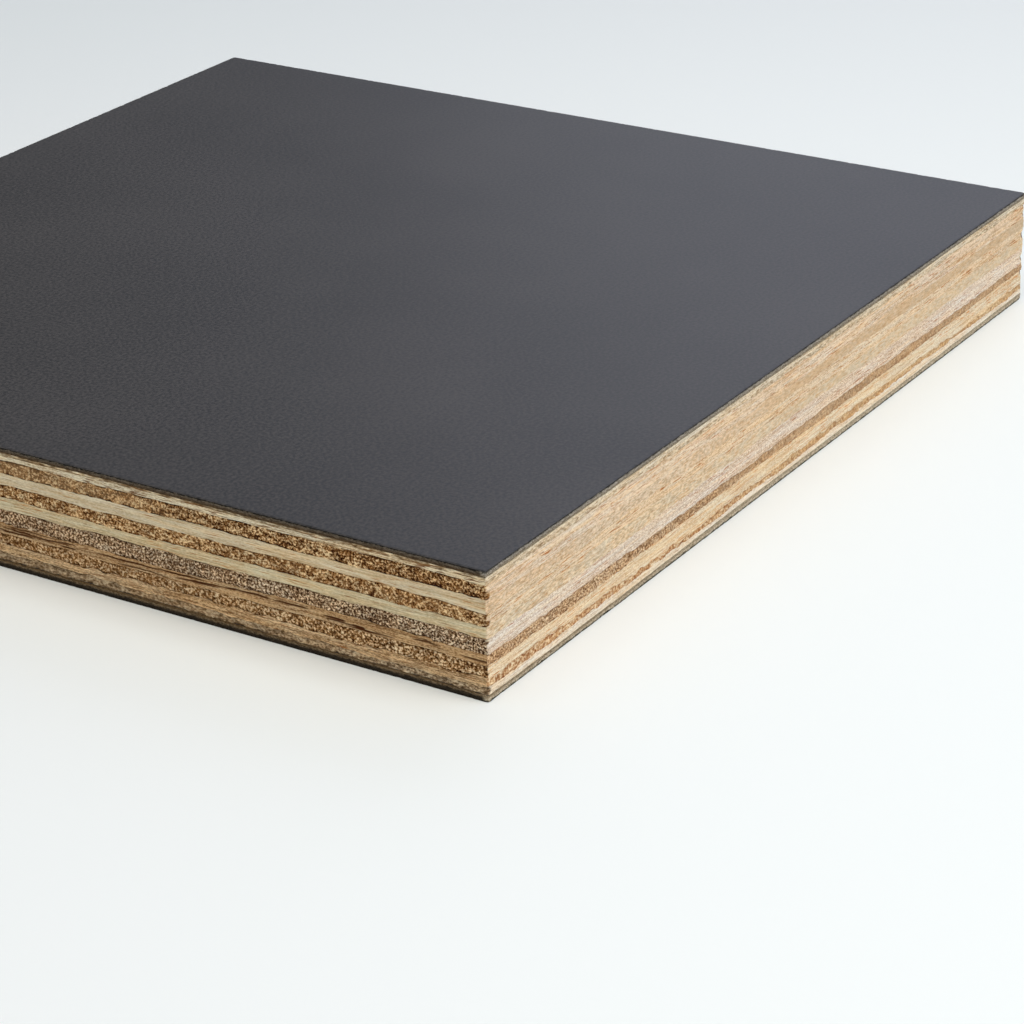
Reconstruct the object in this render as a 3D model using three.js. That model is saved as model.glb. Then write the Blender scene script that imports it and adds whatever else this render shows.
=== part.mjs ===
// A sawn piece of laminate-faced plywood panel: eleven peeled veneers glued with their grain
// crossed, between two dark laminate facings.
//
// Lengths are in millimetres and +Z is up. +X runs along the grain of the two face veneers, +Y
// across it, and the origin is the middle of the underside.

import * as THREE from 'three';

// Sawn size of the panel.
const PANEL_LENGTH = 160;
const PANEL_WIDTH = 157;

// Laminate facings. The outer arris of each is eased with a small flat bevel.
const BOTTOM_FACING = 1.05;
const TOP_FACING = 0.8;
const ARRIS_BEVEL = 0.2;

// Veneers, from the bottom of the panel up.
const BOTTOM_FACE_VENEER = 0.85;
const CORE_VENEER_1 = 1.2;
const CORE_VENEER_2 = 1.95;
const CORE_VENEER_3 = 1.5;
const CORE_VENEER_4 = 2.2;
const CORE_VENEER_5 = 1.65;
const CORE_VENEER_6 = 1.95;
const CORE_VENEER_7 = 1.7;
const CORE_VENEER_8 = 2.0;
const CORE_VENEER_9 = 0.6;
const TOP_FACE_VENEER = 0.55;

// Peeled veneers vary in thickness, so a glue line wanders up and down by this much at most, in
// long swells along the panel and across it. Beside a thin layer it wanders by a share of that
// layer only.
const GLUE_LINE_SWELL = 0.18;
const SWELL_SHARE_OF_THIN_LAYER = 0.18;
const SWELL_LENGTH_ALONG = 97;
const SWELL_LENGTH_ACROSS = 71;

// Part of a swell that runs along the panel. The rest of it runs across.
const SHARE_ALONG = 0.6;

// Each glue line starts its swells this much further on, in radians, than the one below it.
const PHASE_STEP = 2.4;

// The broad faces of every layer are divided into cells of about this size.
const CELL_SIZE = 13;
const CELLS_ALONG = Math.round(PANEL_LENGTH / CELL_SIZE);
const CELLS_ACROSS = Math.round(PANEL_WIDTH / CELL_SIZE);

const FULL_TURN = 2 * Math.PI;

// Dull, fine-textured laminate.
function laminate(colour) {
  return new THREE.MeshStandardMaterial({ color: colour, roughness: 0.62, metalness: 0 });
}

// Bare sawn wood.
function wood(colour) {
  return new THREE.MeshStandardMaterial({ color: colour, roughness: 0.85, metalness: 0 });
}

// The layers from the bottom of the panel up. The face veneers and the even core veneers have
// their grain along X, and the odd core veneers along Y.
const LAYERS = [
  { name: 'facing_bottom', thickness: BOTTOM_FACING, material: laminate(0x504d4a) },
  { name: 'face_veneer_bottom', thickness: BOTTOM_FACE_VENEER, material: wood(0xd9c9ac) },
  { name: 'core_veneer_1', thickness: CORE_VENEER_1, material: wood(0xbe9a70) },
  { name: 'core_veneer_2', thickness: CORE_VENEER_2, material: wood(0xd3b98c) },
  { name: 'core_veneer_3', thickness: CORE_VENEER_3, material: wood(0xab8a66) },
  { name: 'core_veneer_4', thickness: CORE_VENEER_4, material: wood(0xc6ad93) },
  { name: 'core_veneer_5', thickness: CORE_VENEER_5, material: wood(0xd0bb95) },
  { name: 'core_veneer_6', thickness: CORE_VENEER_6, material: wood(0xbd9a70) },
  { name: 'core_veneer_7', thickness: CORE_VENEER_7, material: wood(0xcfb78f) },
  { name: 'core_veneer_8', thickness: CORE_VENEER_8, material: wood(0xb88f66) },
  { name: 'core_veneer_9', thickness: CORE_VENEER_9, material: wood(0xd2bd98) },
  { name: 'face_veneer_top', thickness: TOP_FACE_VENEER, material: wood(0xbfa482) },
  { name: 'facing_top', thickness: TOP_FACING, material: laminate(0x56565a) },
];

// Height of the flat plane under layer number `level`, before any swell.
function planeHeight(level) {
  let height = 0;
  for (const layer of LAYERS.slice(0, level)) {
    height += layer.thickness;
  }
  return height;
}

// How far the glue line under layer number `level` wanders from its plane.
function swellOf(level) {
  const thinner = Math.min(LAYERS[level - 1].thickness, LAYERS[level].thickness);
  return Math.min(GLUE_LINE_SWELL, SWELL_SHARE_OF_THIN_LAYER * thinner);
}

// The glue line under layer number `level`, as a height above each point of the panel: its plane
// plus one swell along X and another along Y. The layers on both sides of it take their face
// from here, so they meet without a gap.
function glueLine(level) {
  const plane = planeHeight(level);
  const swell = swellOf(level);
  const phase = level * PHASE_STEP;
  return (x, y) => {
    const along = Math.sin((FULL_TURN * x) / SWELL_LENGTH_ALONG + phase);
    const across = Math.sin((FULL_TURN * y) / SWELL_LENGTH_ACROSS - phase);
    return plane + swell * (SHARE_ALONG * along + (1 - SHARE_ALONG) * across);
  };
}

// A section through a layer: how far its outline is set in from the sawn faces, and its height
// as a function of the place on the panel.
function section(inset, height) {
  return { halfLength: PANEL_LENGTH / 2 - inset, halfWidth: PANEL_WIDTH / 2 - inset, height };
}

// The grid point of a section that lies `i` cells along X and `j` cells along Y.
function gridPoint({ halfLength, halfWidth, height }, i, j) {
  const x = THREE.MathUtils.lerp(-halfLength, halfLength, i / CELLS_ALONG);
  const y = THREE.MathUtils.lerp(-halfWidth, halfWidth, j / CELLS_ACROSS);
  return new THREE.Vector3(x, y, height(x, y));
}

// The grid places round the outline of a section, anticlockwise seen from above, with the first
// one again at the end.
function outlinePlaces() {
  const places = [];
  for (let i = 0; i < CELLS_ALONG; i++) places.push([i, 0]);
  for (let j = 0; j < CELLS_ACROSS; j++) places.push([CELLS_ALONG, j]);
  for (let i = CELLS_ALONG; i > 0; i--) places.push([i, CELLS_ACROSS]);
  for (let j = CELLS_ACROSS; j >= 0; j--) places.push([0, j]);
  return places;
}

// A closed solid through sections listed from the bottom up. The first and the last are its
// broad faces, and a wall joins the outline of each section to that of the next. Every cell is
// cut along the same diagonal, so that two layers match on the glue line between them.
function layerGeometry(sections) {
  const corners = [];
  const addQuad = (a, b, c, d) => corners.push(a, b, c, a, c, d);

  const lower = (i, j) => gridPoint(sections[0], i, j);
  const upper = (i, j) => gridPoint(sections[sections.length - 1], i, j);
  for (let i = 0; i < CELLS_ALONG; i++) {
    for (let j = 0; j < CELLS_ACROSS; j++) {
      addQuad(lower(i, j), lower(i, j + 1), lower(i + 1, j + 1), lower(i + 1, j));
      addQuad(upper(i, j), upper(i + 1, j), upper(i + 1, j + 1), upper(i, j + 1));
    }
  }

  const places = outlinePlaces();
  for (let s = 0; s + 1 < sections.length; s++) {
    for (let k = 0; k + 1 < places.length; k++) {
      const low = gridPoint(sections[s], ...places[k]);
      const lowNext = gridPoint(sections[s], ...places[k + 1]);
      const highNext = gridPoint(sections[s + 1], ...places[k + 1]);
      const high = gridPoint(sections[s + 1], ...places[k]);
      addQuad(low, lowNext, highNext, high);
    }
  }

  const geometry = new THREE.BufferGeometry().setFromPoints(corners);
  geometry.computeVertexNormals();
  return geometry;
}

// A facing on the underside: the flat outer face, its bevelled arris and the glue line above.
function bottomFacingSections() {
  return [section(ARRIS_BEVEL, () => 0), section(0, () => ARRIS_BEVEL), section(0, glueLine(1))];
}

// A facing on top: the glue line below, the bevelled arris and the flat outer face.
function topFacingSections(level) {
  const top = planeHeight(level + 1);
  return [
    section(0, glueLine(level)),
    section(0, () => top - ARRIS_BEVEL),
    section(ARRIS_BEVEL, () => top),
  ];
}

// A veneer lies between the glue line below it and the one above it.
function veneerSections(level) {
  return [section(0, glueLine(level)), section(0, glueLine(level + 1))];
}

function sectionsOf(level) {
  if (level === 0) return bottomFacingSections();
  if (level === LAYERS.length - 1) return topFacingSections(level);
  return veneerSections(level);
}

const panel = new THREE.Group();
LAYERS.forEach(({ name, material }, level) => {
  const layer = new THREE.Mesh(layerGeometry(sectionsOf(level)), material);
  layer.name = name;
  panel.add(layer);
});

export default panel;
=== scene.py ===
"""A sawn piece of laminate-faced plywood, lying on a pale table in soft light from one side.

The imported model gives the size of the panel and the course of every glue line. Each layer is
made again from those, as a closed sheet whose sawn faces carry the fine relief of the cut: torn
end grain, ribbed long grain, splits, and chipped arrises on the two facings.

Lengths in this file are millimetres until a mesh is written, unless a name says otherwise.
"""

import math

import bpy
import numpy as np
from mathutils import Matrix, Vector


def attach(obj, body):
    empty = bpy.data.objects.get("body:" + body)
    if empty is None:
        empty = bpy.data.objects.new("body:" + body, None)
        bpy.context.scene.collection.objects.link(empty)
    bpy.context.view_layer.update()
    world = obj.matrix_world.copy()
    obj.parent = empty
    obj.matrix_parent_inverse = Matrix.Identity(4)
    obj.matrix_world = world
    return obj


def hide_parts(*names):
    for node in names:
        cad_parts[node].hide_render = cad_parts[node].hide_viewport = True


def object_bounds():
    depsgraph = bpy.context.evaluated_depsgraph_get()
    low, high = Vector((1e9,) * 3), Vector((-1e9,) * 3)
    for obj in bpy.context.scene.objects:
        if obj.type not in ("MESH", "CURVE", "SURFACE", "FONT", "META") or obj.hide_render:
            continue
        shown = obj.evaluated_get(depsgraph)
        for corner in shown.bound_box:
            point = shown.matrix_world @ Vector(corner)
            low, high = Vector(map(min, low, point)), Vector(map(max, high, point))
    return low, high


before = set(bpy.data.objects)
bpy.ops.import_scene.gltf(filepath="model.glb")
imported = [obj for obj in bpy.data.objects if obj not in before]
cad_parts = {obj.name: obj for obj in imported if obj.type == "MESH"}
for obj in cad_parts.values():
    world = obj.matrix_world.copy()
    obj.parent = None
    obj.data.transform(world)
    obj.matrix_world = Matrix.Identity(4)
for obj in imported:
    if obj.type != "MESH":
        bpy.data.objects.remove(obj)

MM = 0.001
cad_box = [list(map(float, corner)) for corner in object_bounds()]
HALF_LENGTH = cad_box[1][0] / MM
HALF_WIDTH = cad_box[1][1] / MM
PANEL_TOP = cad_box[1][2] / MM

# The layers from the underside up.
FACING_BOTTOM = "facing_bottom"
FACING_TOP = "facing_top"
VENEERS = (
    ["face_veneer_bottom"] + [f"core_veneer_{k}" for k in range(1, 10)] + ["face_veneer_top"]
)

# Which way the fibres of each veneer run: the face veneers and the even core veneers along X.
GRAIN = {name: "XY"[k % 2] for k, name in enumerate(VENEERS)}

random = np.random.default_rng(2718)


# ---------------------------------------------------------------- camera

FRAME_PIXELS = 1024
FOCAL_PIXELS = 3224.3
SENSOR_WIDTH = 36.0
NEAREST_SEEN_M = 0.01
CAMERA_PLACE_M = (-0.37521, -0.27219, 0.18867)
CAMERA_HEADING = math.radians(32.712)
CAMERA_DIP = math.radians(24.738)
CAMERA_ROLL = math.radians(-1.286)


def make_camera():
    """The camera looks along its heading, counted from +X towards +Y, dips below the level by its
    dip and leans by its roll."""
    lens = bpy.data.cameras.new("camera")
    lens.sensor_width = SENSOR_WIDTH
    lens.lens = SENSOR_WIDTH * FOCAL_PIXELS / FRAME_PIXELS
    lens.clip_start = NEAREST_SEEN_M
    camera = bpy.data.objects.new("camera", lens)
    bpy.context.scene.collection.objects.link(camera)
    turn = (
        Matrix.Rotation(CAMERA_HEADING - math.pi / 2, 4, "Z")
        @ Matrix.Rotation(math.pi / 2 - CAMERA_DIP, 4, "X")
        @ Matrix.Rotation(CAMERA_ROLL, 4, "Z")
    )
    camera.matrix_world = Matrix.Translation(CAMERA_PLACE_M) @ turn
    bpy.context.scene.camera = camera


# ---------------------------------------------------------------- nodes

def srgb(red, green, blue):
    """A colour written as 0 to 255 on a screen, as the linear colour that a shader takes."""
    screen = np.array([red, green, blue]) / 255
    linear = np.where(screen <= 0.04045, screen / 12.92, ((screen + 0.055) / 1.055) ** 2.4)
    return (*map(float, linear), 1.0)


def socket_of(sockets, name, kind):
    """The socket with this name and of this kind. A mix node has one of each kind to a name."""
    return next(socket for socket in sockets if socket.name == name and socket.type == kind)


class Nodes:
    """A node tree being put together. A socket is set to a value, or linked to another socket."""

    def __init__(self, tree):
        self.tree = tree

    def feed(self, socket, value):
        if isinstance(value, bpy.types.NodeSocket):
            self.tree.links.new(value, socket)
        else:
            socket.default_value = value

    def node(self, kind, sockets, **settings):
        made = self.tree.nodes.new(kind)
        for key, value in settings.items():
            setattr(made, key, value)
        for key, value in sockets.items():
            self.feed(made.inputs[key], value)
        return made

    def mix(self, share, first, second, blend="MIX"):
        """The first colour, with this share of the second mixed in or multiplied on."""
        made = self.node(
            "ShaderNodeMix", {}, data_type="RGBA", blend_type=blend, clamp_factor=True
        )
        self.feed(socket_of(made.inputs, "Factor", "VALUE"), share)
        self.feed(socket_of(made.inputs, "A", "RGBA"), first)
        self.feed(socket_of(made.inputs, "B", "RGBA"), second)
        return socket_of(made.outputs, "Result", "RGBA")


class Finish(Nodes):
    """A material being put together."""

    def __init__(self, name):
        self.material = bpy.data.materials.new(name)
        self.material.use_nodes = True
        super().__init__(self.material.node_tree)
        self.tree.nodes.clear()

    def place(self):
        """Where a point of the surface lies, in the object's own metres."""
        return self.node("ShaderNodeTexCoord", {}).outputs["Object"]

    def clouds(self, size, shift=(0, 0, 0), detail=2.0, roughness=0.5, distortion=0.0):
        """Cloudy noise about 0.5 whose clouds are this many millimetres along X, Y and Z, moved by
        a shift that counts in clouds."""
        scale = tuple(1 / (MM * length) for length in size)
        mapping = self.node(
            "ShaderNodeMapping", {"Vector": self.place(), "Scale": scale, "Location": shift}
        )
        sockets = {"Vector": mapping.outputs["Vector"], "Scale": 1.0, "Detail": detail}
        sockets |= {"Roughness": roughness, "Distortion": distortion}
        return self.node("ShaderNodeTexNoise", sockets).outputs["Fac"]

    def attribute(self, name):
        """A number that the mesh carries at each of its points."""
        return self.node("ShaderNodeAttribute", {}, attribute_name=name).outputs["Fac"]

    def maths(self, operation, first, second, third=0.0, clamp=False):
        sockets = {0: first, 1: second, 2: third}
        made = self.node("ShaderNodeMath", sockets, operation=operation, use_clamp=clamp)
        return made.outputs[0]

    def times(self, first, second):
        return self.maths("MULTIPLY", first, second)

    def weigh(self, *parts):
        """The sum of (pattern, weight) pairs about 0.5, for patterns that lie about 0.5."""
        total = 0.5 - 0.5 * sum(weight for _, weight in parts)
        for pattern, weight in parts:
            total = self.maths("MULTIPLY_ADD", pattern, weight, total)
        return total

    def span(self, value, low, high, to_low=0.0, to_high=1.0):
        """Carries low..high of a value smoothly to to_low..to_high, and stays there outside."""
        sockets = {"Value": value, "From Min": low, "From Max": high}
        sockets |= {"To Min": to_low, "To Max": to_high}
        made = self.node("ShaderNodeMapRange", sockets, interpolation_type="SMOOTHSTEP")
        return made.outputs["Result"]

    def ramp(self, value, stops):
        """A colour ramp through (place, colour) stops."""
        made = self.node("ShaderNodeValToRGB", {"Fac": value})
        elements = made.color_ramp.elements
        while len(elements) < len(stops):
            elements.new(1.0)
        for element, (place, colour) in zip(elements, stops):
            element.position = place
            element.color = colour
        return made.outputs["Color"]

    def surface(self, colour, roughness, height, bump, specular):
        """Ends the material with its shader, bumped by a height of at most bump millimetres."""
        relief = self.node(
            "ShaderNodeBump", {"Height": height, "Strength": 1.0, "Distance": bump * MM}
        )
        sockets = {"Base Color": colour, "Roughness": roughness, "Specular IOR Level": specular}
        sockets |= {"Normal": relief.outputs["Normal"]}
        shader = self.node("ShaderNodeBsdfPrincipled", sockets)
        self.node("ShaderNodeOutputMaterial", {"Surface": shader.outputs["BSDF"]})
        return self.material


# ---------------------------------------------------------------- finish of the veneers

# How each veneer looks where it is sawn, with colours as 0 to 255 on a screen. USUAL_LOOK and
# USUAL_SHARES give what one leaves out.
#   along       its dark, middle and light fibres, on the faces along its grain
#   across      its pores, body and bright fibre ends, on the faces across its grain
#   streak      its scattered streaks and dashes
#   calm        what cleanly cut end grain comes nearer to, where that isn't the body
#   coarseness  size of its fibre ends, as a multiple of the usual one
#   smear       how far the saw has drawn its fibre ends out sideways
#   torn        depth of its torn end grain, as a multiple of the usual one
#   dash_length length of its dashes in millimetres
#   shares      how much each of its patterns counts
VENEER_LOOKS = {
    "face_veneer_bottom": {
        "along": [(210, 187, 160), (240, 225, 208), (252, 241, 225)],
        "streak": (196, 156, 108),
        "across": [(60, 38, 18), (170, 144, 115), (232, 212, 180)],
        "calm": (146, 119, 88),
        "shares": {"streak": 0.15, "glue": 0.5, "specks": 1.4, "clumps": 0.45, "amber": 0.4},
        "smear": 1.6,
    },
    "core_veneer_1": {
        "along": [(122, 90, 58), (199, 168, 131), (240, 210, 170)],
        "streak": (140, 94, 54),
        "across": [(124, 64, 26), (206, 163, 119), (255, 238, 206)],
        "calm": (218, 183, 136),
        "shares": {"streak": 0.5, "glue": 0.3, "clumps": 0.2, "amber": 0.3, "slivers": 0.03},
        "coarseness": 1.7,
    },
    "core_veneer_2": {
        "along": [(204, 170, 134), (229, 208, 180), (250, 238, 216)],
        "streak": (216, 138, 52),
        "across": [(42, 10, 0), (158, 115, 70), (255, 230, 192)],
        "shares": {"streak": 0.8, "glue": 0.6, "specks": 1.8, "amber": 0.5, "slivers": 0.03},
        "coarseness": 1.15,
    },
    "core_veneer_3": {
        "along": [(116, 80, 46), (181, 148, 110), (216, 186, 148)],
        "streak": (98, 56, 24),
        "across": [(90, 52, 20), (184, 147, 111), (246, 219, 184)],
        "calm": (201, 167, 131),
        "shares": {"streak": 0.9, "glue": 0.3, "clumps": 0.25, "amber": 0.3},
    },
    "core_veneer_4": {
        "along": [(192, 164, 142), (225, 207, 191), (249, 238, 225)],
        "streak": (186, 112, 70),
        "across": [(28, 2, 0), (147, 113, 82), (255, 234, 204)],
        "shares": {
            "streak": 0.7, "glue": 0.6, "nap": 1.3, "specks": 1.9, "clumps": 0.5, "amber": 0.4,
        },
        "coarseness": 1.1,
    },
    "core_veneer_5": {
        "along": [(174, 152, 117), (213, 197, 165), (240, 226, 193)],
        "streak": (196, 138, 76),
        "across": [(178, 152, 122), (222, 200, 171), (249, 231, 205)],
        "shares": {
            "streak": 0.7, "dash": 0.5, "glue": 0.0, "nap": 0.5, "specks": 1.2, "clumps": 0.25,
            "amber": 0.3, "slivers": 0.03,
        },
        "coarseness": 0.85,
        "torn": 0.45,
        "smear": 2.6,
    },
    "core_veneer_6": {
        "along": [(188, 155, 120), (223, 200, 173), (245, 226, 200)],
        "streak": (196, 124, 56),
        "across": [(48, 10, 0), (166, 119, 71), (255, 229, 184)],
        "shares": {"streak": 1.0, "glue": 0.6, "clumps": 0.7, "specks": 1.6, "amber": 0.5},
    },
    "core_veneer_7": {
        "along": [(186, 163, 128), (219, 201, 172), (241, 227, 200)],
        "streak": (192, 136, 70),
        "across": [(178, 149, 117), (221, 194, 164), (250, 227, 200)],
        "shares": {
            "streak": 0.6, "dash": 0.35, "glue": 0.0, "nap": 0.5, "specks": 1.2, "clumps": 0.25,
            "amber": 0.4, "slivers": 0.02,
        },
        "coarseness": 0.85,
        "torn": 0.45,
        "smear": 2.6,
    },
    "core_veneer_8": {
        "along": [(190, 162, 134), (225, 203, 180), (244, 228, 208)],
        "streak": (198, 124, 62),
        "across": [(32, 2, 0), (150, 103, 57), (255, 224, 176)],
        "calm": (162, 130, 94),
        "shares": {"streak": 0.9, "glue": 0.9, "clumps": 1.0, "specks": 1.7, "amber": 0.7},
        "coarseness": 1.15,
    },
    "core_veneer_9": {
        "along": [(150, 116, 74), (226, 210, 182), (248, 240, 216)],
        "streak": (104, 62, 26),
        "across": [(150, 126, 96), (207, 185, 157), (242, 226, 200)],
        "shares": {"streak": 0.9, "dash": 0.3, "glue": 0.0, "nap": 0.5, "amber": 0.2, "slivers": 0.05},
        "torn": 0.45,
        "smear": 2.6,
    },
    "face_veneer_top": {
        "along": [(178, 152, 122), (219, 204, 181), (244, 231, 211)],
        "streak": (136, 98, 62),
        "across": [(104, 78, 50), (188, 166, 134), (250, 234, 204)],
        "shares": {"streak": 0.3, "dash": 1.0, "glue": 0.3, "amber": 0.2},
        "dash_length": 4.5,
        "smear": 3.5,
    },
}

USUAL_LOOK = {"coarseness": 1.0, "smear": 1.0, "torn": 1.0, "dash_length": 1.7}
USUAL_SHARES = {"nap": 0.9, "slivers": 0.0, "specks": 1.5, "clumps": 0.6, "dash": 0.0}
FIBRES_IN_TONE = 0.8
BANDS_IN_TONE = 0.35
WARMTH_IN_TINT = 0.8
FLUSH_IN_TINT = 1.2

# Patterns of bare veneer: cloudy noise whose clouds are this many millimetres long along the
# fibres, wide across them and high, with its detail, roughness and distortion.
VENEER_PATTERNS = {
    "fibres": ((4.5, 0.3, 0.17), 3.0, 0.65),
    "nap": ((0.42, 0.2, 0.16), 2.0, 0.6),
    "bands": ((22.0, 3.0, 0.8), 2.0, 0.5, 0.4),
    "slivers": ((2.6, 0.4, 0.14), 1.5),
    "patches": ((13.0, 5.0, 1.7),),
    "amber": ((16.0, 4.0, 0.45), 2.0, 0.6),
    "specks": ((6.0, 0.3, 0.26), 2.5, 0.62),
    "clumps": ((14.0, 2.0, 0.6), 2.5, 0.6),
    "dashes": ((0.6, 1.0, 0.15), 1.0),
    "warmth": ((24.0, 6.5, 2.4), 1.0),
    "flush": ((5.0, 1.3, 0.5), 2.0, 0.6),
}

# Where on the scale of its noise, which lies about 0.5, each effect begins and where it is full.
SHOWN = {
    "tone": (0.22, 0.78),
    "streaks": (0.60, 0.67),
    "patches": (0.46, 0.54),
    "gashes": (0.67, 0.72),
    "amber": (0.47, 0.63),
    "grit": (0.14, 0.86),
    "dashes": (0.56, 0.68),
    "sparse": (0.62, 0.42),
    "warmth": (0.28, 0.72),
    "sheen": (0.3, 0.7),
}

SHADED_TINT = srgb(245, 243, 239)
# The dark of an open split: the wood's own brown and painted shade in its gap.
SPLIT_SHADE_BROWN = srgb(74, 38, 14)
GASH_BROWN = srgb(148, 88, 42)
AMBER_TINT = srgb(255, 243, 220)
WARM_TINT = srgb(255, 249, 237)
COOL_TINT = srgb(250, 254, 255)

GASH_STRENGTH = 0.75
GLUE_SHADE_REACH = (0.04, 0.28)  # how far from a glue line the dark pores and painted shade beside it begin and end to fade
# How much painted shade in the hollows of the end grain and in the worn corners darkens them to the
# pore colour.
HOLLOW_SHADE = 0.4
PATTERN_STEP = (7.3, 3.1, 0)  # how far, in clouds, a veneer's patterns lie from the next one's
WOOD_ROUGHNESS = (0.92, 0.72)
WOOD_BUMP = 0.05
WOOD_SPECULAR = 0.08


def look_of(name):
    """The whole look of a veneer, with its colours as a shader takes them."""
    look = {**USUAL_LOOK, **VENEER_LOOKS[name]}
    look["shares"] = {**USUAL_SHARES, **look["shares"]}
    look.setdefault("calm", look["across"][1])
    for key in ("streak", "calm"):
        look[key] = srgb(*look[key])
    for key in ("along", "across"):
        look[key] = [srgb(*colour) for colour in look[key]]
    return look


class VeneerFinish(Finish):
    """The material of a veneer. Its patterns are solid and drawn out along its grain, so they are
    streaks on the faces along it and grains on the faces across it."""

    def __init__(self, name, number):
        super().__init__(f"bare_veneer_{name}")
        self.along_x = GRAIN[name] == "X"
        self.shift = tuple(number * step for step in PATTERN_STEP)

    def pattern(self, name, wider=1.0, higher=1.0):
        """A pattern of bare veneer, with its clouds made wider and higher."""
        (long, wide, high), *settings = VENEER_PATTERNS[name]
        wide, high = wide * wider, high * higher
        size = (long, wide, high) if self.along_x else (wide, long, high)
        return self.clouds(size, self.shift, *settings)


def long_grain(finish, look, fibres):
    """Colour along the grain: dark to light by fibres, a fuzzy nap and broad bands, and on that
    streaks in patches, a few gashes, and amber bands."""
    shares = look["shares"]
    dark, middle, light = look["along"]
    nap, bands = finish.pattern("nap"), finish.pattern("bands")
    tone = finish.weigh((fibres, FIBRES_IN_TONE), (nap, shares["nap"]), (bands, BANDS_IN_TONE))
    stops = [(0.0, dark), (0.5, middle), (1.0, light)]
    colour = finish.ramp(finish.span(tone, *SHOWN["tone"]), stops)
    slivers = finish.pattern("slivers")
    begins, full = (value - shares["slivers"] for value in SHOWN["streaks"])
    patches = finish.span(finish.pattern("patches"), *SHOWN["patches"])
    streaks = finish.times(finish.span(slivers, begins, full), patches)
    colour = finish.mix(finish.times(streaks, shares["streak"]), colour, look["streak"])
    gashes = finish.span(slivers, *SHOWN["gashes"], 0.0, GASH_STRENGTH)
    colour = finish.mix(gashes, colour, GASH_BROWN)
    amber = finish.span(finish.pattern("amber"), *SHOWN["amber"])
    return finish.mix(finish.times(amber, shares["amber"]), colour, AMBER_TINT, blend="MULTIPLY")


def end_grain(finish, look, specks):
    """Colour across the grain: pores to fibre ends by specks and clumps of them, calm where the
    cut is clean, and on that dashes, and darkening to the pore colour beside the glue and in the
    hollows: partly dark pores, partly painted shade in these joints and recesses."""
    shares = look["shares"]
    pore, body, fleck = look["across"]
    clumps = finish.pattern("clumps")
    grit = finish.weigh((specks, shares["specks"]), (clumps, shares["clumps"]))
    stops = [(0.0, pore), (0.5, body), (1.0, fleck)]
    colour = finish.ramp(finish.span(grit, *SHOWN["grit"]), stops)
    colour = finish.mix(finish.attribute("calm"), colour, look["calm"])
    dashes = finish.pattern("dashes", wider=look["dash_length"])
    dashes = finish.times(finish.span(dashes, *SHOWN["dashes"]), shares["dash"])
    colour = finish.mix(dashes, colour, look["streak"])
    # Beside the glue lines the end grain darkens to its pores: partly their own dark, partly painted
    # shade at the joint.
    beside_glue = finish.span(finish.attribute("from_glue"), *GLUE_SHADE_REACH, shares["glue"], 0.0)
    glue_shade = finish.times(beside_glue, finish.span(clumps, *SHOWN["sparse"]))
    recess_shade = finish.attribute("recess_shade")
    dark = finish.maths("MULTIPLY_ADD", recess_shade, HOLLOW_SHADE, glue_shade, clamp=True)
    return finish.mix(dark, colour, pore)


def veneer_material(name, number):
    """Bare sawn veneer: long grain or end grain, by the way each face is cut, in a tint that
    wanders between cool and warm, with the dark of the splits: their brown and painted shade in
    their gaps."""
    look = look_of(name)
    finish = VeneerFinish(name, number)
    fibres = finish.pattern("fibres")
    coarseness = look["coarseness"]
    specks = finish.pattern("specks", wider=coarseness * look["smear"], higher=coarseness)
    across_grain = finish.attribute("across_grain")

    along = long_grain(finish, look, fibres)
    across = end_grain(finish, look, specks)
    colour = finish.mix(across_grain, along, across)
    warmth, flush = finish.pattern("warmth"), finish.pattern("flush")
    warmth = finish.weigh((warmth, WARMTH_IN_TINT), (flush, FLUSH_IN_TINT))
    tint = finish.mix(finish.span(warmth, *SHOWN["warmth"]), COOL_TINT, WARM_TINT)
    colour = finish.mix(1.0, colour, tint, blend="MULTIPLY")
    colour = finish.mix(finish.attribute("shaded"), colour, SHADED_TINT, blend="MULTIPLY")
    # An open split is painted dark: the wood's brown and the shade in its gap.
    colour = finish.mix(finish.attribute("split"), colour, SPLIT_SHADE_BROWN)

    height = finish.mix(across_grain, fibres, specks)
    roughness = finish.span(specks, *SHOWN["sheen"], *WOOD_ROUGHNESS)
    return finish.surface(colour, roughness, height, WOOD_BUMP, WOOD_SPECULAR)


# ---------------------------------------------------------------- finish of the facings

DECOR_DARK = srgb(8, 7, 7)
DECOR_LIGHT = srgb(61, 58, 57)
DECOR_GRAIN = (0.5, 0.5, 0.5)
DECOR_CLOUD = (26, 26, 26)
GRAIN_SHARE = 1.3
CLOUD_SHARE = 0.2
DECOR_MOTTLE = (0.22, 0.78)
DECOR_ROUGHNESS = (0.47, 0.55)
DECOR_BUMP = 0.010
DECOR_SPECULAR = 0.42


def decor_material():
    """The dark matte decor face: a very fine grain over faint broad clouds."""
    finish = Finish("dark_matte_decor")
    grain = finish.clouds(DECOR_GRAIN, detail=2.5, roughness=0.6)
    cloud = finish.clouds(DECOR_CLOUD)
    mottle = finish.weigh((grain, GRAIN_SHARE), (cloud, CLOUD_SHARE))
    colour = finish.mix(finish.span(mottle, *DECOR_MOTTLE), DECOR_DARK, DECOR_LIGHT)
    roughness = finish.span(grain, *SHOWN["sheen"], *DECOR_ROUGHNESS)
    return finish.surface(colour, roughness, grain, DECOR_BUMP, DECOR_SPECULAR)
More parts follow.
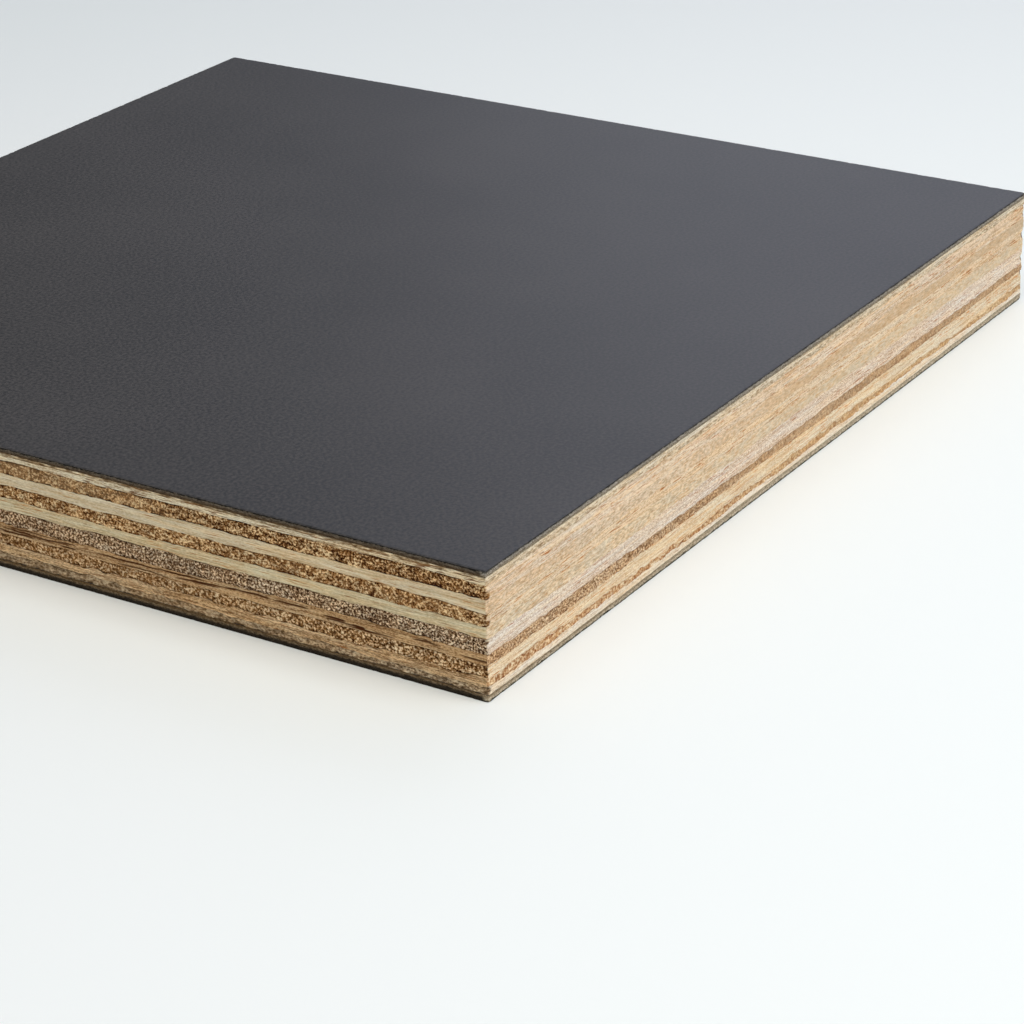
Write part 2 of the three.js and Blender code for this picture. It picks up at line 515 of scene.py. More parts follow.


# What a sawn edge of each laminate facing shows, by millimetres below its decor face: the black
# film, a pale line and the brown core paper. On the two ends it is darker, and on the lower
# facing that darker edge goes near black towards the table as painted contact shade.
EDGE_REACH = 1.4
SAWN_EDGES = {
    FACING_BOTTOM: {
        "clean": [
            (0.00, (24, 26, 20)), (0.08, (40, 40, 32)), (0.16, (140, 131, 112)),
            (0.27, (192, 181, 159)), (0.42, (220, 206, 182)), (0.60, (182, 164, 137)),
            (0.76, (162, 145, 118)), (1.05, (178, 160, 132)),
        ],
        "darker_ends": [
            (0.00, (40, 37, 28)), (0.34, (48, 42, 32)), (0.46, (56, 48, 37)),
            (0.58, (77, 66, 51)), (0.70, (112, 96, 76)), (0.84, (138, 119, 93)),
            (0.98, (112, 90, 61)), (1.20, (112, 90, 62)),
        ],
    },
    FACING_TOP: {
        "clean": [
            (0.00, (50, 49, 47)), (0.14, (80, 77, 72)), (0.24, (154, 149, 139)),
            (0.38, (180, 174, 163)), (0.52, (160, 151, 137)), (0.68, (150, 138, 118)),
            (0.85, (168, 154, 130)),
        ],
        "darker_ends": [
            (0.00, (14, 13, 11)), (0.09, (34, 31, 26)), (0.18, (98, 90, 79)),
            (0.32, (113, 102, 88)), (0.50, (96, 82, 65)), (0.66, (88, 70, 48)),
            (0.85, (114, 94, 68)),
        ],
    },
}
SOOT = srgb(30, 25, 20)
PALE_PAPER = srgb(240, 228, 204)
DULL_PAPER = srgb(164, 154, 140)
WHITE = srgb(255, 255, 255)

# Patterns of a sawn edge: millimetres of a cloud along X, Y and Z, and how broken up it is.
# They are the layers' borders, the strands that tear, the flecks and the fibres.
EDGE_PATTERNS = [(0.9, 0.9, 0.5), (1.6, 1.6, 0.12), (0.26, 0.26, 0.18), (0.7, 0.7, 0.13)]
EDGE_BREAKUP = 0.6

RAGGED_BORDERS = 0.5  # millimetres by which the borders of the layers wander
RAGGED_FLECKS = 0.25
FLECKS_SHARE = 0.8
FIBRES_SHARE = 0.8

# Where paper has torn out: the strands and patches that tear, and how dark the tears are above
# and below the depth in which they get fainter.
TORN_STRANDS = (0.54, 0.66)
TORN_PATCHES = (0.4, 0.6)
TORN_DEPTH = (0.25, 0.45)
TORN_STRENGTH = (0.9, 0.5)

EDGE_ROUGHNESS = (0.8, 0.92)
EDGE_BUMP = 0.03
EDGE_SPECULAR = 0.15


def sawn_edge_material(name):
    """The sawn edge of a facing: its layers follow the depth below the decor face, ragged along
    their borders, with dark dashes where paper has torn out."""
    finish = Finish(f"sawn_laminate_{name}")
    borders, strands, flecks, fibres = (
        finish.clouds(size, roughness=EDGE_BREAKUP) for size in EDGE_PATTERNS
    )
    below_decor = finish.attribute("below_decor")

    ragged = finish.weigh((borders, RAGGED_BORDERS), (flecks, RAGGED_FLECKS))
    depth = finish.maths("ADD", below_decor, ragged)
    reach = finish.maths("MULTIPLY_ADD", depth, 1 / EDGE_REACH, -0.5 / EDGE_REACH)
    clean, darker_ends = (
        finish.ramp(reach, [(mm / EDGE_REACH, srgb(*rgb)) for mm, rgb in SAWN_EDGES[name][kind]])
        for kind in ("clean", "darker_ends")
    )
    # The two ends take the darker ramp; on the lower facing its near black by the table is painted
    # contact shade.
    colour = finish.mix(finish.attribute("darker_ends"), clean, darker_ends)
    colour = finish.mix(finish.attribute("pale"), colour, PALE_PAPER)
    torn = finish.times(finish.span(strands, *TORN_STRANDS), finish.span(borders, *TORN_PATCHES))
    torn = finish.times(torn, finish.span(below_decor, *TORN_DEPTH, *TORN_STRENGTH))
    colour = finish.mix(torn, colour, SOOT)
    speckle = finish.weigh((flecks, FLECKS_SHARE), (fibres, FIBRES_SHARE))
    shade = finish.mix(finish.span(speckle, *SHOWN["sheen"]), DULL_PAPER, WHITE)
    colour = finish.mix(1.0, colour, shade, blend="MULTIPLY")
    roughness = finish.span(flecks, *SHOWN["sheen"], *EDGE_ROUGHNESS)
    return finish.surface(colour, roughness, flecks, EDGE_BUMP, EDGE_SPECULAR)


# ---------------------------------------------------------------- the outline and the glue lines

STEPS = 800  # fine points along each sawn face, about 0.2 mm apart
SKIP = 32  # fine points to one cell of the broad faces
CELLS = STEPS // SKIP
BROAD_INSET = 1.6  # from a sawn face to the cells of a broad face
COLUMNS = 4 * STEPS
COLUMN_MM = 2 * HALF_LENGTH / STEPS


def unit_outline(steps):
    """The outline of a square from -1 to 1, as steps points a side, anticlockwise seen from
    above, starting at its least corner."""
    run = np.linspace(-1, 1, steps, endpoint=False)
    one = np.ones(steps)
    return np.concatenate([run, one, -run, -one]), np.concatenate([-one, run, one, -run])


U, V = unit_outline(STEPS)
ON_X = np.abs(U) == 1
ON_Y = np.abs(V) == 1

# Where each column lies, counted in sides from the near corner, and the side it is on.
PLACE = np.arange(COLUMNS) / STEPS
SIDE = np.arange(COLUMNS) // STEPS
FRONT, RIGHT, BACK, LEFT = range(4)  # the sides at -Y, +X, +Y and -X


def ring(height, depth=0.0, inset=0.0):
    """One loop of points round the panel. Its outline is set in by inset, and each point of it is
    then pushed in by depth, square to its own sawn face."""
    x = U * (HALF_LENGTH - inset) - np.sign(U) * ON_X * depth
    y = V * (HALF_WIDTH - inset) - np.sign(V) * ON_Y * depth
    return np.stack([x, y, np.broadcast_to(height, x.shape)], axis=-1)


def broad_faces(name):
    """The lower and upper broad face of a CAD veneer, as heights over the grid of its points: of
    the points that share a place, the least height and the greatest."""
    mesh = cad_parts[name].data
    points = np.empty(len(mesh.vertices) * 3)
    mesh.vertices.foreach_get("co", points)
    points = points.reshape(-1, 3) / MM
    xs, column = np.unique(points[:, 0].round(3), return_inverse=True)
    ys, row = np.unique(points[:, 1].round(3), return_inverse=True)
    low = np.full((len(ys), len(xs)), np.inf)
    high = np.full((len(ys), len(xs)), -np.inf)
    np.minimum.at(low, (row, column), points[:, 2])
    np.maximum.at(high, (row, column), points[:, 2])
    return xs, ys, low, high


def height_over(xs, ys, grid):
    """A function that reads a grid of heights between its points, in straight lines both ways."""

    def at(x, y):
        i = np.clip(np.searchsorted(xs, x) - 1, 0, len(xs) - 2)
        j = np.clip(np.searchsorted(ys, y) - 1, 0, len(ys) - 2)
        u = (x - xs[i]) / (xs[i + 1] - xs[i])
        v = (y - ys[j]) / (ys[j + 1] - ys[j])
        near = grid[j, i] * (1 - u) + grid[j, i + 1] * u
        far = grid[j + 1, i] * (1 - u) + grid[j + 1, i + 1] * u
        return near * (1 - v) + far * v

    return at


def smooth(field, across, along):
    """Blurs a field by a Gaussian this many cells wide down its rows and along them, with its
    ends joined, and scales it to a spread of 1 about 0."""
    waves_down = np.fft.fftfreq(field.shape[0])[:, None] * across
    waves_along = np.fft.rfftfreq(field.shape[1])[None, :] * along
    keep = np.exp(-2 * np.pi**2 * (waves_down**2 + waves_along**2))
    blurred = np.fft.irfft2(np.fft.rfft2(field) * keep, s=field.shape)
    blurred -= blurred.mean()
    return blurred / blurred.std()


SPARE_ROWS = 12  # rows that are blurred with a field and cut off, so that its edges don't join


def grain_field(rows, across, along):
    """Random relief over the rows and columns of a sawn edge, blurred to its grain."""
    white = random.standard_normal((rows + SPARE_ROWS, COLUMNS))
    return smooth(white, across, along)[:rows]


# The waves of a glue line's small wander, as (length in columns, share), the length of its fine
# tremble, and where their sum is cut off.
WAVES = ((34, 0.55), (10, 0.5))
TREMBLE_LENGTH = 2.6
WANDER_LIMIT = 1.6

# Millimetres of small wander of the glue line under each veneer and over the last one, and the
# share of the fine tremble in it.
WANDER = [0.04, 0.15, 0.19, 0.11, 0.12, 0.12, 0.12, 0.13, 0.12, 0.12, 0.07, 0.04]
TREMBLE = [0.28, 0.45, 0.7, 0.28, 0.6, 0.28, 0.28, 0.28, 0.28, 0.28, 0.28, 0.28]


def wander(amount, tremble):
    """A glue line's own small wander round the panel: slow waves, bumps and a fine tremble."""
    total = np.zeros(COLUMNS)
    for length, share in (*WAVES, (TREMBLE_LENGTH, tremble)):
        total += share * smooth(random.standard_normal((1, COLUMNS)), 1, length)[0]
    return amount * total.clip(-WANDER_LIMIT, WANDER_LIMIT)


# How far each glue line has drifted from its plane, in millimetres: along the left face, and along
# the front face. The line under the lowest core veneer rises slowly along the left, and the line
# over it drops late along the front.
DRIFT = [
    {"left": 0.14, "front": -0.08},
    {"left": 0.44, "front": -0.17, "left_begins": 0.09, "left_full": 0.20},
    {"left": 0.14, "front": -0.36, "begins": 0.17, "full": 0.26},
    {"left": 0.20, "front": -0.32},
    {"left": 0.08, "front": -0.32},
    {"left": 0.12, "front": -0.06},
    {"left": 0.12, "front": 0.0},
    {"left": 0.06, "front": 0.0},
    {"left": 0.22, "front": -0.22},
    {"left": 0.20, "front": 0.0},
    {"left": 0.16, "front": 0.0},
    {"left": 0.12, "front": -0.11},
]


FADED = 1.4  # sides from the near corner to where a change along a face is gone again
FADE = 0.4


def rising_along(face, begins, full):
    """Rises smoothly from 0 to 1 between two places along the front or the left face, and falls
    back round the next corner. Places count sides from the near corner."""
    place = PLACE if face == "front" else 4 - PLACE
    rise = np.clip((place - begins) / (full - begins), 0, 1)
    fall = np.clip((FADED - place) / FADE, 0, 1)
    shape = np.minimum(rise, fall)
    return shape * shape * (3 - 2 * shape)


def drift(left, front, begins=0.0, full=0.05, left_begins=0.0, left_full=0.05):
    """The drift of a glue line round the panel, which comes in along both faces from the near
    corner."""
    along_front = front * rising_along("front", begins, full)
    return along_front + left * rising_along("left", left_begins, left_full)


def glue_lines():
    """Each glue line as (height over the broad face, height round the sawn edge)."""
    lines = []
    for name in VENEERS:
        xs, ys, low, high = broad_faces(name)
        lines.append(height_over(xs, ys, low))
    lines.append(height_over(xs, ys, high))
    edges = [
        at(U * HALF_LENGTH, V * HALF_WIDTH) + wander(amount, tremble) + drift(**drifted)
        for at, amount, tremble, drifted in zip(lines, WANDER, TREMBLE, DRIFT)
    ]
    return list(zip(lines, edges))


# ---------------------------------------------------------------- meshes

SHARP_ANGLE = math.radians(50)


def write_mesh(name, points, quads, triangles, attributes, finishes):
    """A new object from whole arrays: points in millimetres, corners of quads and triangles, one
    number a point for each attribute, and for each face the number of its material."""
    mesh = bpy.data.meshes.new(name)
    mesh.vertices.add(len(points))
    mesh.vertices.foreach_set("co", (points * MM).ravel())
    corners = np.concatenate([quads.ravel(), triangles.ravel()]).astype(np.int32)
    mesh.loops.add(len(corners))
    mesh.loops.foreach_set("vertex_index", corners)
    sizes = np.concatenate([np.full(len(quads), 4), np.full(len(triangles), 3)])
    starts = np.concatenate([[0], np.cumsum(sizes)[:-1]]).astype(np.int32)
    mesh.polygons.add(len(sizes))
    mesh.polygons.foreach_set("loop_start", starts)
    mesh.polygons.foreach_set("use_smooth", np.ones(len(sizes), bool))
    mesh.update(calc_edges=True)
    mesh.validate()
    for key, values in attributes.items():
        layer = mesh.attributes.new(key, "FLOAT", "POINT")
        layer.data.foreach_set("value", values.astype(np.float32).ravel())
    mesh.polygons.foreach_set("material_index", finishes.astype(np.int32))
    mesh.set_sharp_from_angle(angle=SHARP_ANGLE)
    made = bpy.data.objects.new(name, mesh)
    bpy.context.scene.collection.objects.link(made)
    return made


def broad_face(first, edge_start, height, facing_up):
    """One broad face: a grid of cells inset from the sawn faces, and a band of triangles that
    joins it to the fine loop of points that starts at edge_start. Returns its points, quads and
    triangles, with its own points numbered from first."""
    line = np.linspace(-1, 1, CELLS + 1)
    v, u = np.meshgrid(line, line, indexing="ij")
    x = u * (HALF_LENGTH - BROAD_INSET)
    y = v * (HALF_WIDTH - BROAD_INSET)
    points = np.stack([x, y, height(x, y)], axis=-1).reshape(-1, 3)
    number = first + np.arange((CELLS + 1) ** 2).reshape(CELLS + 1, CELLS + 1)
    quads = np.stack(
        [number[:-1, :-1], number[:-1, 1:], number[1:, 1:], number[1:, :-1]], axis=-1
    ).reshape(-1, 4)

    loop = np.concatenate([number[0, :-1], number[:-1, -1], number[-1, :0:-1], number[:0:-1, 0]])
    fine = np.arange(COLUMNS)
    nearest = ((fine + SKIP // 2) // SKIP) % len(loop)
    fans = np.stack(
        [edge_start + fine, edge_start + (fine + 1) % COLUMNS, loop[nearest]], axis=-1
    )
    coarse = np.arange(len(loop))
    between = edge_start + coarse * SKIP + SKIP // 2
    links = np.stack([loop, between, np.roll(loop, -1)], axis=-1)
    triangles = np.concatenate([fans, links])
    if not facing_up:
        quads = quads[:, ::-1]
        triangles = triangles[:, ::-1]
    return points, quads, triangles


def sheet_from_rings(name, rings, lower, upper, attributes, edge_finish=None):
    """A closed sheet from loops of points listed from its underside up, with a broad face on the
    first loop and on the last. attributes gives an array over the loops, and the broad faces
    take the number 0. edge_finish gives the material number of each band between two loops, and
    the broad faces take material 0."""
    rows = len(rings)
    points = np.concatenate(rings)
    here = np.arange(COLUMNS)
    beside = (here + 1) % COLUMNS
    level = (np.arange(rows - 1) * COLUMNS)[:, None]
    walls = np.stack(
        [level + here, level + beside, level + COLUMNS + beside, level + COLUMNS + here], axis=-1
    ).reshape(-1, 4)
    under = broad_face(len(points), 0, lower, False)
    over = broad_face(len(points) + len(under[0]), (rows - 1) * COLUMNS, upper, True)
    points = np.concatenate([points, under[0], over[0]])
    quads = np.concatenate([walls, under[1], over[1]])
    triangles = np.concatenate([under[2], over[2]])
    inner = np.zeros(len(under[0]) + len(over[0]))
    filled = {key: np.concatenate([np.ravel(v), inner]) for key, v in attributes.items()}
    finishes = np.zeros(len(quads) + len(triangles), int)
    if edge_finish is not None:
        finishes[: len(walls)] = np.repeat(edge_finish, COLUMNS)
    return write_mesh(name, points, quads, triangles, filled, finishes)


# ---------------------------------------------------------------- veneers

ROW_HEIGHT = 0.2
LEAST_ROWS = 4

# Veneers that are darker from some way along a face on: the face, and the places where this
# begins and where it is full, counted in sides from the near corner.
SHADED = {"core_veneer_7": ("front", 0.40, 0.54)}

# Veneers whose end grain is cut more cleanly from some way along a face on: the same, and how much
# of the speckle is gone there.
CALM = {
    "face_veneer_bottom": ("left", 0.08, 0.25, 0.30),
    "core_veneer_1": ("front", 0.25, 0.60, 0.50),
    "core_veneer_2": ("left", 0.10, 0.30, 0.22),
    "core_veneer_3": ("front", 0.20, 0.55, 0.55),
    "core_veneer_4": ("left", 0.10, 0.30, 0.12),
    "core_veneer_5": ("front", 0.20, 0.55, 0.50),
    "core_veneer_7": ("front", 0.20, 0.55, 0.50),
    "core_veneer_8": ("left", 0.26, 0.40, 0.42),
}

# The relief of the cut, in millimetres behind the saw's plane: where torn end grain and ribbed long
# grain lie on average, how far they spread, and the deepest.
END_GRAIN_DEPTH = 0.09
END_GRAIN_SPREAD = 0.05
LONG_GRAIN_DEPTH = 0.035
LONG_GRAIN_SPREAD = 0.012
DEEPEST = 0.19
HOLLOW_SPREADS = 1.6  # spreads behind the average at which end grain takes the full painted shade of the hollows

# Blur of the relief's grain, in rows and columns, and how much each counts beside the others.
SPECK_BLUR = (0.75, 0.75)
CLUMP_BLUR = (2.5, 7)
RIB_BLUR = (0.8, 45)
SPECKS_IN_ENDS = 0.9
CLUMPS_IN_ENDS = 0.35
SPECKS_IN_RIBS = 0.5

# Wear at the upright corners: its width in millimetres, by the way the fibres run and in the two
# veneers where it is widest, how ragged and deep it is, how much painted shade darkens its
# chipped recess, and the width that bares end grain.
END_GRAIN_WEAR = {"X": 0.42, "Y": 0.1}
CORNER_WEAR = {"core_veneer_8": 0.62, "core_veneer_6": 0.5}
WEAR_BLUR = (1.3, 0.01)
WEAR_SPREAD = 0.7
WEAR_DEPTH = 0.3
WEAR_SHADE = 1.2
WEAR_SHOWS_ENDS = 0.15

# The veneer with the splits. Half lengths count in columns, levels are shares of the veneer,
# slopes are rows to a column, and widths count in rows.
SPLIT_VENEER = "core_veneer_3"
SPLIT_ROW_HEIGHT = 0.125
SMALL_SPLITS = 190
SPLIT_HALVES = (4, 26)
SPLIT_LEVELS = (0.12, 0.88)
SPLIT_SLOPES = (-0.02, 0.02)
SPLIT_WIDTH = 0.85
WIDE_SPLIT_SLOPE = 0.012
WIDE_SPLIT_WIDTH = 1.15
SPLIT_DEPTH = 0.16
SPLIT_CONTRAST = 3.2
SPLIT_THRESHOLD = 0.9

# The widest splits, which lie along the left face: how far the middle of each is from the near
# corner and half its length, in millimetres, and its level as a share of the veneer.
WIDE_SPLITS = [
    (1.0, 3.4, 0.33),
    (9.3, 2.3, 0.58),
    (19.8, 1.2, 0.27),
    (23.5, 2.0, 0.45),
    (30.5, 3.1, 0.60),
    (37.3, 4.0, 0.68),
    (57.0, 6.0, 0.62),
    (72.0, 5.0, 0.50),
]


def split(rows, middle, half, level, slope, width):
    """A long thin split along the grain, deepest in its middle row and middle column and closed
    towards its ends: a share from 0 to 1 over the rows and columns."""
    row = np.arange(rows)[:, None]
    away = (np.arange(COLUMNS) - middle + COLUMNS / 2) % COLUMNS - COLUMNS / 2
    lengthways = np.clip(1 - (away / half) ** 2, 0, 1)
    crossways = np.exp(-(((row - level - slope * away) / width) ** 2))
    return lengthways**0.5 * crossways


def splits(rows):
    """Small splits at random places round the veneer, and the wide ones along the left face."""
    opened = np.zeros((rows, COLUMNS))
    for _ in range(SMALL_SPLITS):
        middle = random.uniform(0, COLUMNS)
        half = random.uniform(*SPLIT_HALVES)
        level = random.uniform(*SPLIT_LEVELS) * (rows - 1)
        slope = random.uniform(*SPLIT_SLOPES)
        opened = np.maximum(opened, split(rows, middle, half, level, slope, SPLIT_WIDTH))
    for from_near_corner, half, share in WIDE_SPLITS:
        middle = COLUMNS - from_near_corner / COLUMN_MM
        course = (half / COLUMN_MM, share * (rows - 1), WIDE_SPLIT_SLOPE)
        opened = np.maximum(opened, split(rows, middle, *course, WIDE_SPLIT_WIDTH))
    return opened


def from_corner():
    """How far each column lies from the nearest upright corner of the panel."""
    column = np.arange(COLUMNS)
    return np.abs((column + STEPS // 2) % STEPS - STEPS // 2) * COLUMN_MM


def corner_wear(rows, reach):
    """Wear at the four upright corners: in each row a chip of random width about reach, as the
    width that is left of it at each column."""
    ragged = smooth(random.standard_normal((rows + SPARE_ROWS, 4)), *WEAR_BLUR)[:rows]
    widths = reach * (1 + WEAR_SPREAD * ragged)
    corner = ((np.arange(COLUMNS) + STEPS // 2) // STEPS) % 4
    return np.clip(widths[:, corner] - from_corner(), 0, 2 * reach)


def relief(rows, row_height, look):
    """How far end grain and long grain lie behind the saw's plane over the rows and columns: the
    average depth, plus its spread times random specks and clumps, or long ribs and specks."""
    fine = ROW_HEIGHT / row_height
    specks = grain_field(rows, SPECK_BLUR[0] * fine, SPECK_BLUR[1] * look["smear"])
    clumps = grain_field(rows, *CLUMP_BLUR)
    ribs = grain_field(rows, RIB_BLUR[0] * fine, RIB_BLUR[1])
    torn = SPECKS_IN_ENDS * specks + CLUMPS_IN_ENDS * clumps
    ends = look["torn"] * (END_GRAIN_DEPTH + END_GRAIN_SPREAD * torn)
    return ends, LONG_GRAIN_DEPTH + LONG_GRAIN_SPREAD * (ribs + SPECKS_IN_RIBS * specks)


def veneer(name, lower, upper):
    """A veneer between two glue lines. Its sawn edge is a grid of rows and columns that runs
    evenly from one glue line to the other and lies behind the saw's plane by the relief of the
    cut, the splits and the worn corners."""
    look = look_of(name)
    thickness = float((upper[1] - lower[1]).mean())
    row_height = SPLIT_ROW_HEIGHT if name == SPLIT_VENEER else ROW_HEIGHT
    rows = max(LEAST_ROWS, round(thickness / row_height)) + 1
    share = np.linspace(0, 1, rows)[:, None]
    heights = lower[1] + (upper[1] - lower[1]) * share

    sides_across = (RIGHT, LEFT) if GRAIN[name] == "X" else (FRONT, BACK)
    across = np.isin(SIDE, sides_across).astype(float)
    ends, ribs = relief(rows, row_height, look)
    depth = np.clip(np.where(across > 0, ends, ribs), 0.0, DEEPEST)
    opened = np.zeros_like(depth)
    if name == SPLIT_VENEER:
        opened = splits(rows) * (1 - across)
    wear = corner_wear(rows, CORNER_WEAR.get(name, END_GRAIN_WEAR[GRAIN[name]]))
    # Painted shade: end grain lying deeper than its average, and the worn corners, darken towards the
    # pore colour.
    behind = depth - look["torn"] * END_GRAIN_DEPTH
    recess_shade = np.clip(behind / (HOLLOW_SPREADS * END_GRAIN_SPREAD), 0, 1)
    recess_shade = np.clip(recess_shade + WEAR_SHADE * wear, 0, 1)
    depth = depth + SPLIT_DEPTH * opened + WEAR_DEPTH * wear
    across = np.clip(across + wear / WEAR_SHOWS_ENDS, 0, 1)

    shaded = rising_along(*SHADED[name]) if name in SHADED else 0.0
    calm = 0.0
    if name in CALM:
        *stretch, calmer = CALM[name]
        calm = calmer * rising_along(*stretch)

    rings = [ring(height, inward) for height, inward in zip(heights, depth)]
    attributes = {
        "across_grain": across,
        "from_glue": np.minimum(heights - lower[1], upper[1] - heights),
        "recess_shade": recess_shade * across,
        "shaded": np.broadcast_to(shaded, heights.shape),
        "calm": np.broadcast_to(calm, heights.shape),
        # how dark a split is painted, for the wood's brown and the shade in its gap
        "split": np.clip(SPLIT_CONTRAST * opened - SPLIT_THRESHOLD, 0, 1),
    }
    return sheet_from_rings(f"sawn_{name}", rings, lower[0], upper[0], attributes)


# ---------------------------------------------------------------- facings

BEVEL = {FACING_BOTTOM: 0.01, FACING_TOP: 0.05}

# Chips along an arris: how many, the deepest in millimetres, their half widths in columns, and
# how full they are. The corners of the outline are rounded off as well.
CHIPS = {FACING_BOTTOM: 500, FACING_TOP: 420}
DEEPEST_CHIP = {FACING_BOTTOM: 0.07, FACING_TOP: 0.13}
CHIP_HALVES = (0.8, 2.6)
CHIP_SIZES = (0.2, 1.0)
CHIP_FULLNESS = 0.6
ROUNDED_CORNER = 0.5
ROUNDING = 0.4

# Share of a chip that lies below the arris, on the bevel and beside it.
CHIP_BELOW = 0.6
CHIP_ON_BEVEL = 0.45
CHIP_INWARD = 0.5

EDGE_ROWS = 6
EDGE_DEPTH = 0.03  # how far the sawn edge lies behind the saw's plane, on average
EDGE_SPREAD = 0.018
EDGE_DEEPEST = 0.1
EDGE_FIELD = (9, 1, 1.4)  # rows of the random relief of the edge, and its blur
ARRIS_DEPTH = 0.02
BEVEL_MIDDLE = 0.4
DECOR_LOOPS = (0.55, 0.95)  # insets of the level loops inside the arris

DARKENING_STOPS = 0.5  # the darker ends stop this short of a corner
DARKENING_FADES = 0.4

# The core paper of the lower facing is paler from some way along a face on: the face, the places
# where this begins and where it is full, and how much paler it is there. Its black film isn't.
PALER = ("front", 0.15, 0.45)
PALER_SHARE = 0.36
FILM = 0.18


def nicks(count, deepest):
    """Small chips along an arris, as a depth round the panel: each is a rounded bite, one less
    the square of the way from its middle, raised to its fullness."""
    column = np.arange(COLUMNS)
    bite = np.zeros(COLUMNS)
    for _ in range(count):
        half = random.uniform(*CHIP_HALVES)
        away = (column - random.uniform(0, COLUMNS) + COLUMNS / 2) % COLUMNS - COLUMNS / 2
        size = random.uniform(*CHIP_SIZES) ** 2 * deepest
        bite = np.maximum(bite, size * np.clip(1 - (away / half) ** 2, 0, 1) ** CHIP_FULLNESS)
    return bite + ROUNDING * np.clip(ROUNDED_CORNER - from_corner(), 0, 1)


def facing_loops(name, glue_height, outer, up):
    """The loops of a facing from its glue line out: up the sawn edge, over the bevelled arris,
    whose chips bite into both faces, and in along the flat decor face."""
    bevel = BEVEL[name]
    bite = nicks(CHIPS[name], DEEPEST_CHIP[name])
    rough = EDGE_DEPTH + EDGE_SPREAD * grain_field(*EDGE_FIELD)
    loops = []
    for row, share in enumerate(np.linspace(0, 1, EDGE_ROWS + 1)):
        height = glue_height + (outer - up * bevel - glue_height) * share
        height = height - up * bite * CHIP_BELOW * share**3
        loops.append(ring(height, np.clip(rough[row], 0, EDGE_DEEPEST)))
    on_bevel = outer - up * (bevel * BEVEL_MIDDLE + bite * CHIP_ON_BEVEL)
    loops.append(ring(on_bevel, BEVEL_MIDDLE * bevel + bite * CHIP_INWARD + ARRIS_DEPTH))
    loops.append(ring(outer, bevel + bite + ARRIS_DEPTH))
    loops += [ring(outer, inset=inset) for inset in DECOR_LOOPS]
    return loops


def facing(name, glue, outer, up):
    """A laminate facing between its glue line and its flat decor face. Its sawn edge takes the
    second finish and the level loops inside the arris take the first, as the broad faces do."""
    rings = facing_loops(name, glue[1], outer, up)
    edge_finish = [1] * (EDGE_ROWS + 1) + [0] * (len(DECOR_LOOPS) + 1)

    def flat(x, y):
        return np.full(np.shape(x), outer)

    lower, upper = (glue[0], flat) if up > 0 else (flat, glue[0])
    if up < 0:
        rings, edge_finish = rings[::-1], edge_finish[::-1]
    heights = np.array(rings)[:, :, 2]
    below_decor = np.abs(outer - heights)
    from_end = from_corner() - DARKENING_STOPS
    # The two ends of each sawn edge are darker; on the lower facing, near the table, that is painted
    # contact shade.
    darker_ends = np.isin(SIDE, (RIGHT, LEFT)) * np.clip(from_end / DARKENING_FADES, 0, 1)
    pale = np.zeros(heights.shape)
    if name == FACING_BOTTOM:
        paper = np.clip(below_decor / FILM - 1, 0, 1)
        pale = PALER_SHARE * rising_along(*PALER) * paper * (1 - darker_ends)
    attributes = {
        "below_decor": below_decor,
        "darker_ends": np.broadcast_to(darker_ends, heights.shape),
        "pale": pale,
    }
    return sheet_from_rings(f"sawn_{name}", rings, lower, upper, attributes, edge_finish)


# ---------------------------------------------------------------- table and light

FLOOR_HALF_M = 4.0
FLOOR_ROUGHNESS = 0.7
FLOOR_SPECULAR = 0.1

# Colours of the table on its bright and its dim side, near and far, which paint the fall-off of
# the light over it, and the metres over which the one turns into the other.
FLOOR_NEAR = (srgb(239, 245, 247), srgb(234, 238, 240))
FLOOR_FAR = (srgb(213, 218, 220), srgb(211, 219, 220))
SIDEWAYS_NEAR_M = (-0.12, 0.14)
SIDEWAYS_FAR_M = (-0.1, 0.14)
AWAY_M = (-0.05, 0.42)


def make_floor():
    """A pale table top. Its colour darkens slowly with distance and towards the dim side, which is
    painted fall-off of the light.
    """
    corners = [(-1, -1), (1, -1), (1, 1), (-1, 1)]
    points = [(x * FLOOR_HALF_M, y * FLOOR_HALF_M, 0) for x, y in corners]
    mesh = bpy.data.meshes.new("table_top")
    mesh.from_pydata(points, [], [(0, 1, 2, 3)])
    floor = bpy.data.objects.new("table_top", mesh)
    bpy.context.scene.collection.objects.link(floor)
    finish = Finish("pale_table")
    turn = {"Vector": finish.place(), "Rotation": (0, 0, -CAMERA_HEADING)}
    turned = finish.node("ShaderNodeMapping", turn)
    axes = finish.node("ShaderNodeSeparateXYZ", {"Vector": turned.outputs["Vector"]})
    away, aside = axes.outputs["X"], axes.outputs["Y"]
    # Painted fall-off of the light: darker far off and on the dim side.
    near = finish.mix(finish.span(aside, *SIDEWAYS_NEAR_M), *FLOOR_NEAR)
    far = finish.mix(finish.span(aside, *SIDEWAYS_FAR_M), *FLOOR_FAR)
    sockets = {
        "Base Color": finish.mix(finish.span(away, *AWAY_M), near, far),
        "Roughness": FLOOR_ROUGHNESS,
        "Specular IOR Level": FLOOR_SPECULAR,
    }
    shader = finish.node("ShaderNodeBsdfPrincipled", sockets)
    finish.node("ShaderNodeOutputMaterial", {"Surface": shader.outputs["BSDF"]})
    mesh.materials.append(finish.material)


# Light from all round, and the bright side of the room.
WORLD_LEVEL = 0.33
EVEN_COLOUR = (1.0, 0.99, 0.97, 1.0)
BRIGHT_HEADING = math.radians(-25)
BRIGHT_RISE = math.radians(20)
BRIGHT_LEVEL = 1.6
BRIGHT_COLOUR = (0.57 * BRIGHT_LEVEL, 0.68 * BRIGHT_LEVEL, 0.97 * BRIGHT_LEVEL, 1.0)
BRIGHT_REACH = (0.3, 1.0)

